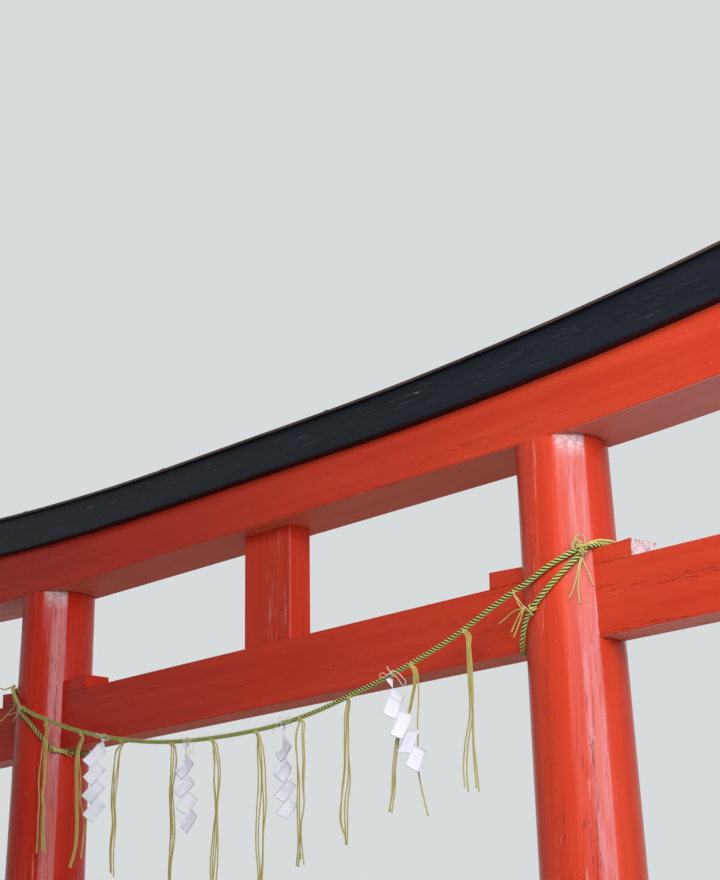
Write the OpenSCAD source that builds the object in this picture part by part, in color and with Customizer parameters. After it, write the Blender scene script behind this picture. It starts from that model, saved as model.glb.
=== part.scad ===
// Torii gate: two round posts that lean inwards, a through tie beam held by wedges, a centre strut,
// two stacked lintels that sweep up towards their ends, a roof sheet, and a sacred rope hung across.
// Millimetres, +Z up. The origin is the middle of the left post's foot, at ground level; +X runs along
// the gate to the right post and the front faces -Y.

/* [Posts] */
// Distance between the posts' axes at ground level
span = 2940; // [2400:10:4200]
// Ground to the underside of the lower lintel
post_h = 3360; // [3000:10:4200]
// Diameter of a post at the ground
post_foot_d = 356; // [290:1:440]
// Diameter of a post under the lower lintel
post_top_d = 286; // [230:1:350]
// Lean of each post towards the middle, degrees
post_lean = 2; // [0:0.1:3]
// Width of the bevel round a post's top edge
post_top_bevel = 6; // [2:0.5:14]
// Height of the tenon on top of a post, inside the lower lintel
post_tenon_h = 95; // [40:1:110]
// Width of that tenon, along the gate
post_tenon_w = 120; // [80:1:150]
// Thickness of that tenon, front to back
post_tenon_t = 70; // [40:1:120]

/* [Foot] */
// Height of the base stone above the ground
stone_h = 130; // [80:1:220]
// Largest diameter of the base stone
stone_d = 600; // [520:1:760]
// Radius of the base stone's rounded shoulder
stone_shoulder = 70; // [20:1:75]
// Height of the black foot band above the stone
band_h = 330; // [150:1:500]
// Wall of the foot band
band_t = 7; // [4:0.5:14]

/* [Tie beam] */
// Ground to the underside of the tie beam
tie_z = 2730; // [2400:10:2950]
// Height of the tie beam
tie_h = 220; // [160:1:290]
// Thickness of the tie beam, front to back
tie_t = 112; // [80:1:140]
// Length of the tie beam
tie_len = 4160; // [3400:10:5600]
// Width of the bevel on the tie beam's long edges
tie_bevel = 3; // [1:0.5:8]

/* [Wedges] */
// How far a wedge stands out of the post
wedge_out = 140; // [80:1:200]
// Height of a wedge at its outer end
wedge_h = 53; // [35:1:70]
// Fall of a wedge towards the post, for each millimetre of length
wedge_slope = 0.05; // [0.02:0.005:0.08]
// Length of a wedge inside the post
wedge_in = 120; // [60:1:125]

/* [Centre strut] */
// Width of the strut across the gate
strut_w = 248; // [180:1:320]
// Thickness of the strut, front to back
strut_t = 96; // [60:1:112]
// Width of the bevel on the strut's upright edges
strut_bevel = 3; // [1:0.5:8]
// Length of the stub tenon at each end of the strut
strut_tenon_h = 35; // [20:1:60]
// How far the stub tenons stand back from the strut's faces
strut_shoulder = 28; // [15:1:29]

/* [Lintels] */
// Height of the lower lintel at mid span
lower_h = 170; // [120:1:230]
// Thickness of the lower lintel, front to back
lower_t = 244; // [200:1:290]
// Length of the lower lintel along its underside
lower_len = 4520; // [3900:10:5800]
// Height of the top lintel's face at mid span
top_h = 132; // [90:1:190]
// Thickness of the top lintel, front to back
top_t = 322; // [292:1:380]
// How far the top lintel runs past the lower one at each end
top_past = 70; // [30:1:140]
// Width of the bevel on the lower edges of both lintels
lintel_bevel = 4; // [1:0.5:10]
// Rake of the lintels' ends, degrees from plumb
end_rake = 14; // [0:1:25]
// Slope of the top lintel's two roof faces, degrees
roof_slope = 12; // [4:1:20]
// Thickness of the roof sheet and its boards
cap_t = 9; // [5:0.5:20]
// How far the roof sheet stands past the top lintel all round
cap_lip = 13; // [5:1:30]

/* [Sweep] */
// Half length of the straight middle of the lower lintel's underside
sweep_low_flat = 1200; // [600:10:1400]
// Radius of the underside's sweep outside it
sweep_low_r = 14000; // [9000:100:30000]
// Half length of the straight middle of the joint between the lintels
sweep_mid_flat = 500; // [300:10:900]
// Radius of the joint's sweep outside it
sweep_mid_r = 19000; // [14000:100:30000]
// Half length of the straight middle of the top edge
sweep_top_flat = 400; // [200:10:800]
// Radius of the top edge's sweep outside it
sweep_top_r = 17100; // [13000:100:30000]

/* [Rope and what hangs on it] */
// Diameter of the rope
rope_d = 17; // [12:1:18]
// Diameter of a knot in the rope
knot_d = 43; // [30:1:43]
// Length of a straw tassel below the rope
tassel_len = 480; // [300:5:560]
// Diameter of one straw yarn
strand_d = 5; // [3:0.5:7]
// Gap between the yarns of a tassel at its top
yarn_gap = 1; // [0.5:0.5:2]
// Spread of a tassel's yarns from the way it leans, degrees
tassel_spread = 1; // [0.5:0.5:3]
// Width of a paper streamer's panel
paper_w = 45; // [38:1:60]
// Length of a paper streamer's panel
paper_len = 100; // [75:1:120]
// Tilt of a panel's long sides from plumb, degrees
paper_tilt = 44; // [30:1:50]
// How far down one panel's side the next panel begins
paper_step = 45; // [30:1:60]
// Lap of one panel over the next
paper_lap = 1; // [0.5:0.5:4]
// Number of panels in a paper streamer
paper_panels = 4; // [2:1:5]
// Length of the string above a streamer's panels
paper_string = 14; // [12:1:40]
// Width of the folded neck that hangs on the string
paper_neck = 8; // [5:1:14]
// Thickness of the folded paper
paper_t = 1.2; // [0.6:0.1:2]

/* [Fits] */
// Clearance at each side of a beam or wedge in its mortise
mortise_fit = 0.3; // [0:0.1:1]
// Clearance of a foot band and a base stone round the post
foot_fit = 0.4; // [0:0.1:1]
// Gap between the rope and what hangs from it or is knotted in it
rope_fit = 0.3; // [0:0.1:1]

/* [Hidden] */
vermilion = [0.80, 0.22, 0.14];
lacquer_black = [0.07, 0.09, 0.12];
sheet_brown = [0.16, 0.11, 0.10];
granite = [0.60, 0.59, 0.57];
straw = [0.72, 0.68, 0.36];
rope_green = [0.36, 0.42, 0.22];
paper_white = [0.93, 0.93, 0.96];

mid_x = span / 2;
hitch_d = 4 * strand_d; // the round hitch at a tassel's top
tie_knot_d = 3 * strand_d; // the knot of the straw tie
string_knot_d = 2 * strand_d; // the knot that holds a streamer's string
string_d = strand_d / 2;
neck_side = paper_len / 3; // how far the folded neck reaches down the first panel's side
slope_reach = 20; // distance to each side over which the rope's slope is taken
taper = (post_foot_d - post_top_d) / 2 / post_h;
lower_z = post_h;
mid_z = lower_z + lower_h;
top_z = mid_z + top_h;
far = 8000; // past everything, for cutting shapes
sweep_half = 3000; // half length of a sweep's curve, past the longest lintel's end
sweep_step = 100; // length of the straight steps that a sweep is drawn in
beyond = 80; // how far a cutting shape runs past what it cuts

// The rope's route: its span hangs before the tie beam, and each end turns once round its post,
// over the tie beam on the outside of the post and under it on the inside
rope_y = -165;
span_route = [[2943, -120, 2973], [2911, -140, 2966], [2878, -153, 2954], [2843, -160, 2940],
    [2780, -163, 2914], [2700, -165, 2878], [2600, -165, 2835], [2500, -165, 2797], [2400, -165, 2766],
    [2300, -165, 2739], [2200, -165, 2715], [2100, -165, 2694], [2000, -165, 2675], [1900, -165, 2657],
    [1800, -165, 2643], [1700, -165, 2633], [1600, -165, 2628], [1500, -165, 2627], [1400, -165, 2628],
    [1300, -165, 2631], [1200, -165, 2636], [1100, -165, 2644], [1000, -165, 2655], [900, -165, 2670],
    [800, -165, 2688], [700, -165, 2709], [600, -165, 2733], [500, -165, 2760], [400, -165, 2791],
    [300, -165, 2826], [200, -165, 2863], [124, -168, 2897]];
right_turn_route = [[2943, -119, 2952], [2913, -141, 2916], [2868, -158, 2872], [2821, -159, 2835],
    [2784, -150, 2806], [2758, -137, 2774], [2734, -118, 2742], [2709, -88, 2721], [2691, -47, 2721],
    [2683, 0, 2721], [2691, 47, 2721], [2709, 88, 2723], [2734, 118, 2742], [2763, 140, 2776],
    [2797, 154, 2816], [2840, 160, 2858], [2883, 154, 2900], [2922, 135, 2940], [2954, 106, 2980],
    [2977, 70, 3005], [2991, 25, 3006], [2991, -25, 3006], [2979, -70, 3004], [2967, -92, 2993]];
left_turn_route = [[110, -159, 2882], [146, -153, 2848], [181, -138, 2806], [207, -118, 2768],
    [231, -88, 2726], [249, -47, 2721], [257, 0, 2721], [249, 47, 2721], [231, 88, 2724],
    [206, 118, 2742], [177, 140, 2776], [143, 154, 2816], [100, 160, 2858], [57, 154, 2900],
    [18, 135, 2940], [-14, 106, 2980], [-37, 70, 3005], [-51, 25, 3006], [-51, -25, 3006],
    [-38, -70, 3004], [-10, -111, 2986], [29, -141, 2960], [64, -157, 2935], [86, -164, 2918]];
right_knot = [2963, -111, 2976];
left_knot = [101, -171, 2902];
tie_knot = [2783, -178, 2845];
tie_tips = [[2748, -166, 2890], [2797, -170, 2829], [2745, -176, 2795], [2768, -182, 2762],
    [2772, -179, 2750]];

// Where the tassels hang along the gate, and how far the yarns on the left and on the right of each
// lean along the gate and forwards, in degrees. The last paper streamer has blown in among the yarns
// of tassel 9.
tassel_x = [307, 535, 789, 1088, 1314, 1553, 1779, 2026, 2310, 2543];
yarn_lean = [[-4.5, -5, -5, 0, 0.5, 2, -2.5, -3.5, -8, 0], [-0.5, 1, -5, 0, 0.5, 2, -2.5, -3.5, -3, 3]];
yarn_forward = [[0, 0, 0, 0, 0, 0, 0, 0, 4, 0], [0, 0, 0, 0, 0, 0, 0, 0, -7, 0]];

// Where the paper streamers hang along the gate, how much longer each one's string is than the usual,
// and how far along its width its panels sit from the middle of the string
streamer_x = [677, 1168, 1690, 2204];
streamer_drop = [-8, 12, 8, 16];
streamer_shift = [-16, 0, -12, -16];
// How far each has turned on its string from facing square to the front, how far it swings along its
// own width, and how far it leans forwards, in degrees
streamer_turn = [40, 70, 16, 50];
streamer_swing = [-3, -4, -3, 16];
streamer_lean = [0, 5, 0, 22];

// Radius of a post, and how far its axis has moved inwards, at height z
function post_r(z) = post_foot_d / 2 - taper * z;
function lean_in(z) = z * tan(post_lean);

// Places children for the left post and, mirrored, for the right one
module left_or_right(side) {
    if (side == "left") children();
    else translate([span, 0, 0]) mirror([1, 0, 0]) children();
}

// The post's leaning cone between two heights, grown by an allowance all round
module post_cone(z0, z1, grow = 0) {
    rotate([0, post_lean, 0]) translate([0, 0, z0])
        cylinder(h = z1 - z0, r1 = post_r(z0) + grow, r2 = post_r(z1) + grow, $fn = 180);
}

// A side elevation drawn in X and Z about the gate's middle, given a thickness front to back
module elevation(thickness) {
    translate([mid_x, 0, 0]) rotate([90, 0, 0])
        linear_extrude(height = thickness, center = true) children();
}

// Rise of a sweep at x: level out to its flat half length, then a large arc, in short straight steps
function sweep_rise(x, flat, radius) = let (out = max(abs(x) - flat, 0)) radius - sqrt(radius ^ 2 - out ^ 2);

// Everything above a sweep whose level middle is at height z. `share` scales its rise, and `shift` moves
// its steps along, so that they don't fall on those of a surface that it meets.
module above_sweep(z, flat, radius, share = 1, shift = 0) {
    steps = ceil((sweep_half - flat) / sweep_step);
    arm = [for (i = [0 : steps]) flat + shift + i * sweep_step];
    curve = concat([for (i = [steps : -1 : 0]) -arm[i]], arm);
    polygon(concat([for (x = curve) [x, z + share * sweep_rise(x, flat, radius)]],
        [[arm[steps], z + far], [-arm[steps], z + far]]));
}

// The lintels' outline between their raked ends; `past` lengthens each end
module raked_ends(past) {
    half = lower_len / 2 + past;
    out = far * tan(end_rake);
    polygon([[-half, lower_z], [half, lower_z], [half + out, lower_z + far], [-half - out, lower_z + far]]);
}

// Everything above a slope that follows a sweep: it passes a line at distance y from the middle, on
// the front (side -1) or the back (side 1), and falls outwards by the angle
module above_slope(side, y, angle, z, flat, radius) {
    translate([0, side * y, z]) rotate([-side * angle, 0, 0]) translate([0, 0, -z])
        elevation(far) above_sweep(z, flat, radius, cos(angle), sweep_step / 2);
}

// Everything above both bevels along the lower edges of a lintel of the given thickness
module above_bevels(thickness, z, flat, radius) {
    intersection() {
        above_slope(-1, thickness / 2 - lintel_bevel, -45, z, flat, radius);
        above_slope(1, thickness / 2 - lintel_bevel, -45, z, flat, radius);
    }
}

// Everything above one roof slope of the top lintel; `lift` raises it by the roof sheet
module above_roof(side, lift) {
    translate([0, side * lift * sin(roof_slope), lift * cos(roof_slope)])
        above_slope(side, top_t / 2, roof_slope, top_z, sweep_top_flat, sweep_top_r);
}

// A square-edged bar of the given section with its four long edges bevelled, running up from z = 0
module bevelled_bar(width, thickness, bevel, length) {
    w = width / 2;
    t = thickness / 2;
    linear_extrude(height = length) polygon([[bevel - w, -t], [w - bevel, -t], [w, bevel - t], [w, t - bevel],
        [w - bevel, t], [bevel - w, t], [-w, t - bevel], [-w, bevel - t]]);
}

// The tenon on top of the left post, or with an allowance its mortise in the lower lintel
module post_tenon(fit = 0) {
    w = post_tenon_w + 2 * fit;
    t = post_tenon_t + 2 * fit;
    translate([lean_in(post_h) - w / 2, -t / 2, post_h - beyond]) cube([w, t, beyond + post_tenon_h + fit]);
}

// The strut's stub tenons, or with an allowance their mortises
module strut_tenons(fit = 0) {
    w = strut_w - 2 * strut_shoulder + 2 * fit;
    t = strut_t - 2 * strut_shoulder + 2 * fit;
    z0 = tie_z + tie_h - strut_tenon_h - fit;
    translate([mid_x - w / 2, -t / 2, z0]) cube([w, t, lower_z + strut_tenon_h + fit - z0]);
}

module post(side) {
    color(vermilion) left_or_right(side) union() {
        difference() {
            intersection() {
                post_cone(-beyond, post_h + beyond);
                under_top_bevel();
            }
            elevation(far) above_sweep(lower_z, sweep_low_flat, sweep_low_r);
            tie_void();
            for (outer = [false, true]) wedge_body(outer, tie_t + 2 * mortise_fit);
        }
        post_tenon();
    }
}

// A steep cone from the ground up whose side bevels the top edge of the left post
module under_top_bevel() {
    z = post_h + sweep_rise(mid_x - lean_in(post_h), sweep_low_flat, sweep_low_r) + beyond;
    r = post_r(post_h) - post_top_bevel - beyond;
    translate([lean_in(post_h), 0, 0]) cylinder(h = z, r1 = r + z, r2 = r, $fn = 96);
}

// The slot that the tie beam passes through, its floor at the beam's underside
module tie_void() {
    translate([-far / 2, -tie_t / 2 - mortise_fit, tie_z]) cube([far, tie_t + 2 * mortise_fit, tie_h]);
}

// One wedge on top of the tie beam at the left post, thinner towards the post's middle
module wedge_body(outer, thickness) {
    z0 = tie_z + tie_h;
    end_x = post_r(z0) + wedge_out;
    in_x = post_r(z0) - wedge_in;
    in_h = wedge_h - (end_x - in_x) * wedge_slope;
    translate([lean_in(z0), 0, 0]) mirror([outer ? 1 : 0, 0, 0]) rotate([90, 0, 0])
        linear_extrude(height = thickness, center = true)
            polygon([[in_x, z0], [end_x, z0], [end_x, z0 + wedge_h], [in_x, z0 + in_h]]);
}

module wedge(side, outer) {
    color(vermilion) left_or_right(side) wedge_body(outer, tie_t);
}

module base_stone(side) {
    r = stone_d / 2;
    c = stone_shoulder;
    color(granite) left_or_right(side) difference() {
        rotate_extrude($fn = 96) intersection() {
            square([r, stone_h]);
            union() {
                square([r, stone_h - c]);
                square([r - c, stone_h]);
                translate([r - c, stone_h - c]) circle(r = c, $fn = 96);
            }
        }
        post_cone(-beyond, stone_h + beyond, foot_fit);
    }
}

module foot_band(side) {
    z1 = stone_h + band_h;
    color(lacquer_black) left_or_right(side) difference() {
        post_cone(0, z1 + beyond, foot_fit + band_t);
        post_cone(-beyond, z1 + 2 * beyond, foot_fit);
        translate([-far / 2, -far / 2, stone_h - far]) cube([far, far, far]);
        translate([-far / 2, -far / 2, z1]) cube([far, far, far]);
    }
}

module tie_beam() {
    color(vermilion) difference() {
        translate([mid_x - tie_len / 2, 0, tie_z + tie_h / 2]) rotate([0, 90, 0])
            bevelled_bar(tie_h, tie_t, tie_bevel, tie_len);
        strut_tenons(mortise_fit);
    }
}

module centre_strut() {
    z0 = tie_z + tie_h;
    color(vermilion) union() {
        translate([mid_x, 0, z0]) bevelled_bar(strut_w, strut_t, strut_bevel, lower_z - z0);
        strut_tenons();
    }
}

module lower_lintel() {
    color(vermilion) difference() {
        intersection() {
            elevation(lower_t) difference() {
                intersection() {
                    above_sweep(lower_z, sweep_low_flat, sweep_low_r);
                    raked_ends(0);
                }
                above_sweep(mid_z, sweep_mid_flat, sweep_mid_r);
            }
            above_bevels(lower_t, lower_z, sweep_low_flat, sweep_low_r);
        }
        for (side = ["left", "right"]) left_or_right(side) post_tenon(mortise_fit);
        strut_tenons(mortise_fit);
    }
}

module top_lintel() {
    color(lacquer_black) difference() {
        intersection() {
            elevation(top_t) intersection() {
                above_sweep(mid_z, sweep_mid_flat, sweep_mid_r);
                raked_ends(top_past);
            }
            above_bevels(top_t, mid_z, sweep_mid_flat, sweep_mid_r);
        }
        for (side = [-1, 1]) above_roof(side, 0);
    }
}

module roof_sheet() {
    color(sheet_brown) difference() {
        intersection() {
            elevation(top_t + 2 * cap_lip) raked_ends(top_past + cap_lip);
            union() {
                above_roof(-1, 0);
                above_roof(1, 0);
            }
        }
        for (side = [-1, 1]) above_roof(side, cap_t);
    }
}

// A tube swept along a route: eight points round each route point, one of them straight below
module tube(route, d) {
    sides = 8;
    n = len(route);
    rings = [for (i = [0 : n - 1])
        let (a = route[max(i - 1, 0)], b = route[min(i + 1, n - 1)], t = (b - a) / norm(b - a),
            u = cross(t, [0, 0, 1]) / norm(cross(t, [0, 0, 1])), v = cross(u, t))
        for (k = [0 : sides - 1])
            route[i] + d / 2 * (sin(360 * k / sides) * u + cos(360 * k / sides) * v)];
    walls = [for (i = [0 : n - 2]) for (k = [0 : sides - 1])
        let (k2 = (k + 1) % sides)
        [i * sides + k, (i + 1) * sides + k, (i + 1) * sides + k2, i * sides + k2]];
    start = [for (k = [0 : sides - 1]) k];
    end = [for (k = [sides - 1 : -1 : 0]) (n - 1) * sides + k];
    polyhedron(rings, concat([start], walls, [end]), convexity = 10);
}

module rope_span() {
    color(rope_green) tube(span_route, rope_d);
}

module rope_turn(side) {
    color(rope_green) tube(side == "left" ? left_turn_route : right_turn_route, rope_d);
}

module rope_knot(side) {
    color(rope_green) translate(side == "left" ? left_knot : right_knot) sphere(d = knot_d, $fn = 48);
}

// A round strand from point a to point b
module strand(a, b, d) {
    run = b - a;
    translate(a) rotate([0, acos(run[2] / norm(run)), atan2(run[1], run[0])])
        cylinder(h = norm(run), d = d, $fn = 16);
}

// The straw that gathers the rope's span to its turn beside the right post
module straw_tie() {
    color(straw) union() {
        translate(tie_knot) sphere(d = tie_knot_d, $fn = 24);
        for (tip = tie_tips) strand(tie_knot, tip, strand_d);
    }
}

// Height of the rope's middle at x, and its slope there
function rope_z(x) = lookup(x, [for (p = span_route) [p[0], p[2]]]);
function rope_slope(x) = (rope_z(x + slope_reach) - rope_z(x - slope_reach)) / (2 * slope_reach);

// Places children with their centre the given distance below the rope, square to it
module under_rope(x, drop) {
    m = rope_slope(x);
    n = sqrt(1 + m * m);
    translate([x + drop * m / n, rope_y, rope_z(x) - drop / n]) children();
}

// Four straw yarns that hang from a hitch against the rope's underside; the hitch's poles point along
// Y, clear of the yarns
module tassel(i) {
    apart = (strand_d + yarn_gap) / 2;
    color(straw) under_rope(tassel_x[i - 1], (rope_d + hitch_d) / 2 + rope_fit) union() {
        rotate([90, 0, 0]) sphere(d = hitch_d, $fn = 48);
        for (side = [0, 1], y = [-1, 1]) {
            x = 2 * side - 1;
            translate([x * apart, y * apart, 0])
                rotate([yarn_forward[side][i - 1], 180 - yarn_lean[side][i - 1] - x * tassel_spread, 0])
                    cylinder(h = tassel_len, d = strand_d, $fn = 24);
        }
    }
}

// The outline of the folded paper: a neck, and tilted panels that step down below it
module paper_outline(shift) {
    corner = [paper_w / 2 + shift, -paper_neck];
    lap = paper_lap * [cos(paper_tilt), -sin(paper_tilt)];
    side_end = corner - neck_side * [sin(paper_tilt), cos(paper_tilt)];
    polygon([[-paper_neck / 2, 0], [paper_neck / 2, 0], corner, corner + lap, side_end + lap]);
    translate(corner) rotate(-paper_tilt) for (k = [0 : paper_panels - 1])
        translate([k * (paper_w - paper_lap), -k * paper_step - paper_len]) square([paper_w, paper_len]);
}

// Folded paper on a short string, knotted under the rope
module paper_streamer(i) {
    string = paper_string + streamer_drop[i - 1];
    color(paper_white) under_rope(streamer_x[i - 1], (rope_d + string_knot_d) / 2 + rope_fit)
        rotate([-streamer_lean[i - 1], -streamer_swing[i - 1], streamer_turn[i - 1]]) union() {
            sphere(d = string_knot_d, $fn = 24);
            translate([0, 0, -string - paper_neck])
                cylinder(h = string + paper_neck, d = string_d, $fn = 16);
            translate([0, 0, -string]) rotate([90, 0, 0])
                linear_extrude(height = paper_t, center = true) paper_outline(streamer_shift[i - 1]);
        }
}

post("left");  // left_post
post("right");  // right_post
base_stone("left");  // left_base_stone
base_stone("right");  // right_base_stone
foot_band("left");  // left_foot_band
foot_band("right");  // right_foot_band
tie_beam();
wedge("left", true);  // left_outer_wedge
wedge("left", false);  // left_inner_wedge
wedge("right", false);  // right_inner_wedge
wedge("right", true);  // right_outer_wedge
centre_strut();
lower_lintel();
top_lintel();
roof_sheet();
rope_span();
rope_turn("left");  // left_rope_turn
rope_turn("right");  // right_rope_turn
rope_knot("left");  // left_rope_knot
rope_knot("right");  // right_rope_knot
straw_tie();
tassel(1);  // tassel_1
tassel(2);  // tassel_2
tassel(3);  // tassel_3
tassel(4);  // tassel_4
tassel(5);  // tassel_5
tassel(6);  // tassel_6
tassel(7);  // tassel_7
tassel(8);  // tassel_8
tassel(9);  // tassel_9
tassel(10);  // tassel_10
paper_streamer(1);  // paper_streamer_1
paper_streamer(2);  // paper_streamer_2
paper_streamer(3);  // paper_streamer_3
paper_streamer(4);  // paper_streamer_4
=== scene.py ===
# The looks of a torii gate: the paint on its timber, its metal roof sheet and stone feet, and the straw
# rope across it with its tassels and paper streamers. Metres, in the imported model's frame.
import bpy
import numpy as np
from mathutils import Matrix


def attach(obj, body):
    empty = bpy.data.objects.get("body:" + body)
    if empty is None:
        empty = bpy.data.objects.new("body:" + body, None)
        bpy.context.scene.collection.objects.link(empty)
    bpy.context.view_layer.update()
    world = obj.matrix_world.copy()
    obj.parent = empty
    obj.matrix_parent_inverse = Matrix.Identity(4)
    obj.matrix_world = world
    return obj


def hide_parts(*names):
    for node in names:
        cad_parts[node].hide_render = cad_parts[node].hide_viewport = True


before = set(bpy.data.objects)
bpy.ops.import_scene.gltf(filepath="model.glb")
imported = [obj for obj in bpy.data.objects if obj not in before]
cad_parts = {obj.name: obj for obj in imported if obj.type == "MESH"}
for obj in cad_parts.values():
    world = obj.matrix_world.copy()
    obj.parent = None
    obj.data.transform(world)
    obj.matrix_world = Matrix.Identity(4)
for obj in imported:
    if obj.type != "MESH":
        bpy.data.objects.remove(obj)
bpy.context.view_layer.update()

# The camera stands at eye height, in front of the gate and well to its right, and looks up and to the left
# through a long lens. Its view holds the heads of both posts, the beams between and the whole rope.
eye = [6.662, -4.463, 1.553]
pan, rise, roll = np.radians([46.793, 17.461, -0.87])
ahead = np.array([-np.sin(pan) * np.cos(rise), np.cos(pan) * np.cos(rise), np.sin(rise)])
level = np.array([np.cos(pan), np.sin(pan), 0])
upright = np.cross(level, ahead)
across = np.cos(roll) * level + np.sin(roll) * upright
up = np.cos(roll) * upright - np.sin(roll) * level
camera = bpy.data.objects.new("camera", bpy.data.cameras.new("camera"))
camera.data.lens = 80.78
camera.matrix_world = Matrix([*np.column_stack([across, up, -ahead, eye]).tolist(), [0, 0, 0, 1]])
bpy.context.scene.collection.objects.link(camera)
bpy.context.scene.camera = camera


# Each post stands in a round base stone of pale granite, cut by hand and dressed with a bush hammer, which
# leaves a fine even roughness. It is darker low down.
def tint(red, green, blue):
    """A colour as the eye reads it, 0 to 255, in the linear values that a shader takes."""
    c = np.array([red, green, blue]) / 255
    return (*np.where(c < 0.04045, c / 12.92, ((c + 0.055) / 1.055) ** 2.4).tolist(), 1)


class Wire:
    """One output among a material's nodes. Arithmetic on wires adds Math nodes to the same material."""

    def __init__(self, tree, socket):
        self.tree, self.socket = tree, socket

    def math(self, operation, *others):
        node = self.tree.nodes.new("ShaderNodeMath")
        node.operation = operation
        for slot, value in zip(node.inputs, (self, *others)):
            plug(value, slot)
        return Wire(self.tree, node.outputs[0])

    def __add__(self, other):
        return self.math("ADD", other)

    def __sub__(self, other):
        return self.math("SUBTRACT", other)

    def __rsub__(self, other):
        return self.math("MULTIPLY_ADD", -1, other)

    def __mul__(self, other):
        return self.math("MULTIPLY", other)

    def __abs__(self):
        return self.math("ABSOLUTE")

    __radd__ = __add__

    def least(self, other):
        return self.math("MINIMUM", other)

    def most(self, other):
        return self.math("MAXIMUM", other)

    def step(self, low, high):
        """Nought up to low and one from high on, with a smooth rise between; low may be the larger."""
        node = self.tree.nodes.new("ShaderNodeMapRange")
        node.interpolation_type = "SMOOTHSTEP"
        for slot, value in zip(node.inputs, (self, low, high)):
            plug(value, slot)
        return Wire(self.tree, node.outputs[0])


def plug(value, slot):
    """Joins a wire to an input, or sets the input to a plain value."""
    if isinstance(value, Wire):
        value.tree.links.new(value.socket, slot)
    else:
        slot.default_value = value


class Finish:
    """A material in the making: its shader, the object's coordinates, and the patterns laid on them."""

    def __init__(self, name):
        self.material = bpy.data.materials.new(name)
        self.material.use_nodes = True
        self.tree = self.material.node_tree
        self.shader = self.tree.nodes["Principled BSDF"]
        self.place = Wire(self.tree, self.tree.nodes.new("ShaderNodeTexCoord").outputs["Object"])
        self.x, self.y, self.z = self.add("ShaderNodeSeparateXYZ", Vector=self.place)

    def add(self, kind, **inputs):
        """Adds a node with these inputs and returns its outputs as wires."""
        node = self.tree.nodes.new(kind)
        for name, value in inputs.items():
            plug(value, node.inputs[name])
        return [Wire(self.tree, socket) for socket in node.outputs]

    def noise(self, scale, detail=3, rough=0.5, warp=0):
        """Soft noise about one half, with so many waves to a metre along each axis."""
        at = self.add("ShaderNodeMapping", Vector=self.place, Scale=scale)[0]
        return self.add("ShaderNodeTexNoise", Vector=at, Scale=1, Detail=detail, Roughness=rough,
                        Distortion=warp)[0]

    def specks(self, scale):
        """Distance to the nearest of many scattered points, in cells, and a chance value for its cell."""
        at = self.add("ShaderNodeMapping", Vector=self.place, Scale=scale)[0]
        distance, colour = self.add("ShaderNodeTexVoronoi", Vector=at, Scale=1)[:2]
        return distance, self.add("ShaderNodeSeparateColor", Color=colour)[0]

    def stored(self, name):
        """A value that the mesh holds at its points."""
        node = self.tree.nodes.new("ShaderNodeAttribute")
        node.attribute_name = name
        return Wire(self.tree, node.outputs["Fac"])

    def mix(self, share, first, second):
        node = self.tree.nodes.new("ShaderNodeMix")
        node.data_type = "RGBA"
        for slot, value in zip((node.inputs[0], node.inputs[6], node.inputs[7]), (share, first, second)):
            plug(value, slot)
        return Wire(self.tree, node.outputs[2])

    def relief(self, *layers):
        """Bumps the surface by each height wire times its depth in metres."""
        for height, depth in layers:
            node = self.tree.nodes.new("ShaderNodeBump")
            plug(height, node.inputs["Height"])
            plug(depth, node.inputs["Distance"])
            node.inputs["Strength"].default_value = 1
            normal = self.shader.inputs["Normal"]
            if normal.is_linked:
                plug(Wire(self.tree, normal.links[0].from_socket), node.inputs["Normal"])
            plug(Wire(self.tree, node.outputs[0]), normal)

    def set(self, **inputs):
        for name, value in inputs.items():
            plug(value, self.shader.inputs[name.replace("_", " ")])

    def on(self, *names):
        """Puts this finish on CAD nodes, or on pieces, by name."""
        for name in names:
            mesh = bpy.data.objects[name].data
            mesh.materials.clear()
            mesh.materials.append(self.material)


granite = Finish("granite")
grain = granite.noise((240, 240, 240), detail=2)
patch = granite.noise((6, 6, 6), detail=4)
dot, dot_pick = granite.specks((420, 420, 420))
blotch, blotch_pick = granite.specks((90, 90, 90))
stone = granite.mix(grain.step(0.35, 0.65), tint(118, 115, 110), tint(176, 172, 165))
stone = granite.mix(dot.step(0.45, 0.3) * dot_pick.step(0.7, 0.75), stone, tint(58, 57, 58))
stone = granite.mix(blotch.step(0.6, 0.3) * blotch_pick.step(0.55, 0.75) * 0.5, stone,
                    tint(92, 90, 90))
stone = granite.mix(patch.step(0.42, 0.66) * 0.4, stone, tint(104, 101, 88))
darker_low = granite.z.step(0.07, 0.0) * 0.5
granite.set(Base_Color=granite.mix(darker_low, stone, tint(84, 80, 72)), Roughness=0.82)
granite.relief((patch, 0.006), (granite.noise((130, 130, 130), detail=4, rough=0.65), 0.0025))
granite.on("left_base_stone", "right_base_stone")

# The posts, tie beam, wedges, strut and lower lintel are solid timber under many coats of gloss vermilion.
# The grain and the brush strokes show through it, a few old checks have opened along the grain, and the
# sharp edges and the joints have chipped to the pale ground under the red.
gate_middle, half_span, post_lean = 1.470, 1.470, 0.0349
tie_foot, tie_top, tie_half, wedge_top = 2.730, 2.950, 0.056, 3.003
lintel_foot, lintel_top, lintel_half = (3.360, 1.2, 14.0), (3.530, 0.5, 19.0), 0.122
slot_half, slot_middle, slot_rise, post_top = 0.0563, 2.866, 0.137, 3.362
strut_half_wide, strut_half, wedge_end = 0.124, 0.048, (3.119, 3.1215)
along_post, along_beam = np.array([6, 6, 0.25]), np.array([0.25, 6, 6])


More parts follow.
